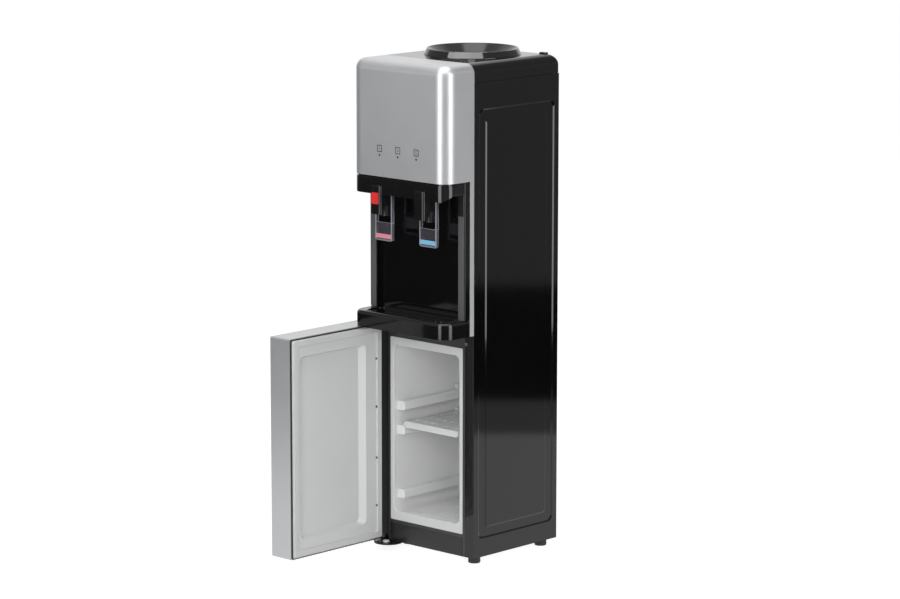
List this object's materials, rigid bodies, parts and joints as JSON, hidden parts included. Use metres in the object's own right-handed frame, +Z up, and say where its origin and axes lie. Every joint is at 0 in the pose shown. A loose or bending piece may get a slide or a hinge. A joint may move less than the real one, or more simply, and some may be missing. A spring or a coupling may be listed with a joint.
{
  "type": "water dispenser",
  "caption": "Free-standing hot and cold water dispenser with push-paddle taps over a drip tray, a bottle collar on top and a storage cabinet below, its door open.",
  "frame": {"origin": "on the floor, on the centreline, straight below the plane that the cabinet door closes on", "axes": "+Z up, towards the bottle collar; +X to the right of someone facing the taps; +Y towards the back"},
  "size_m": [0.3244, 0.578, 1.1045],
  "materials": {
    "black_panel": "semi-gloss black paint",
    "silver_cover": "satin metallic silver",
    "gloss_black": "high gloss",
    "satin_black": "satin",
    "black_steel": "satin paint",
    "compressor_black": "semi-gloss paint",
    "galvanised": "galvanised sheet",
    "white_liner": "semi-gloss white",
    "white_nylon": "satin white",
    "white_gasket": "satin white",
    "foam": "rigid foam",
    "rubber": "matte",
    "hose": "translucent silicone",
    "stainless": "stainless",
    "copper": "bare copper",
    "zinc": "zinc plated",
    "drain_white": "satin white",
    "circuit_board": "lacquered board",
    "lamp_lens": "clear",
    "smoked_clear": "clear smoked",
    "stripe_red": "gloss",
    "stripe_blue": "gloss",
    "button_red": "gloss",
    "rocker_red": "gloss",
    "rocker_green": "gloss"
  },
  "bodies": {
    "body": {"side_panel_right": "black_panel", "side_panel_left": "black_panel", "back_panel": "galvanised", "base_plate": "galvanised", "levelling_feet": "rubber", "front_frame": "satin_black", "kick_panel": "satin_black", "hinge_plate_lower": "black_steel", "hinge_plate_upper": "black_steel", "hinge_pins": "zinc", "hinge_washer": "white_nylon", "hinge_plate_cap": "white_nylon", "hinge_hole_plug": "white_nylon", "panel_screws": "zinc", "cabinet_liner": "white_liner", "cabinet_shelf": "white_liner", "cabinet_foam": "foam", "head_cover": "silver_cover", "indicator_lenses": "lamp_lens", "indicator_board": "circuit_board", "top_cover": "gloss_black", "top_plug": "gloss_black", "bottle_collar": "gloss_black", "recess_liner": "gloss_black", "tap_fascia": "gloss_black", "tap_cap_hot": "gloss_black", "tap_cap_cold": "gloss_black", "tap_valves": "satin_black", "paddle_pivots": "zinc", "tray_base": "gloss_black", "cold_tank": "stainless", "evaporator_sleeve": "copper", "tank_insulation": "foam", "hot_tank": "stainless", "heater_band": "stainless", "cold_hose": "hose", "hot_hose": "hose", "equipment_deck": "galvanised", "compressor": "compressor_black", "compressor_grommets": "rubber", "condenser": "black_steel", "switch_housing": "satin_black", "cord_gland": "rubber", "drain_fitting": "drain_white"},
    "door": {"door_shell": "silver_cover", "door_trim": "satin_black", "door_liner": "white_liner", "door_gasket": "white_gasket", "door_foam": "foam", "door_bushes": "white_nylon", "door_liner_screws": "zinc"},
    "hot_paddle": {"paddle_hot": "smoked_clear", "paddle_stripe_hot": "stripe_red"},
    "cold_paddle": {"paddle_cold": "smoked_clear", "paddle_stripe_cold": "stripe_blue"},
    "child_lock": {"child_lock_button": "button_red"},
    "tray": {"drip_tray": "satin_black"},
    "grid": {"drip_grid": "satin_black"},
    "cold_switch": {"cold_switch_rocker": "rocker_green"},
    "hot_switch": {"hot_switch_rocker": "rocker_red"}
  },
  "joints": [
    {"name": "door_hinge", "type": "hinge", "parent": "body", "child": "door", "pos_m": [-0.1342, -0.0182, 0.26], "axis": [0, 0, 1], "range_deg": [-30, 90]},
    {"name": "hot_paddle_hinge", "type": "hinge", "parent": "body", "child": "hot_paddle", "pos_m": [-0.0654, -0.0605, 0.814], "axis": [1, 0, 0], "range_deg": [0, 12], "stiffness_Nm_per_rad": 0.2, "springref_deg": -8.59},
    {"name": "cold_paddle_hinge", "type": "hinge", "parent": "body", "child": "cold_paddle", "pos_m": [0.0654, -0.0605, 0.814], "axis": [1, 0, 0], "range_deg": [0, 12], "stiffness_Nm_per_rad": 0.2, "springref_deg": -8.59},
    {"name": "child_lock_press", "type": "slide", "parent": "body", "child": "child_lock", "axis": [0, 1, 0], "range_m": [0, 0.0015], "stiffness_N_per_m": 200, "springref_m": -0.004},
    {"name": "drip_tray_lift", "type": "slide", "parent": "body", "child": "tray", "axis": [0, 0, 1], "range_m": [0, 0.05]},
    {"name": "drip_grid_lift", "type": "slide", "parent": "tray", "child": "grid", "axis": [0, 0, 1], "range_m": [0, 0.04]},
    {"name": "cold_switch_rock", "type": "hinge", "parent": "body", "child": "cold_switch", "pos_m": [0.042, 0.264, 0.845], "axis": [1, 0, 0], "range_deg": [-22, 0]},
    {"name": "hot_switch_rock", "type": "hinge", "parent": "body", "child": "hot_switch", "pos_m": [0.042, 0.264, 0.875], "axis": [1, 0, 0], "range_deg": [-22, 0]}
  ]
}
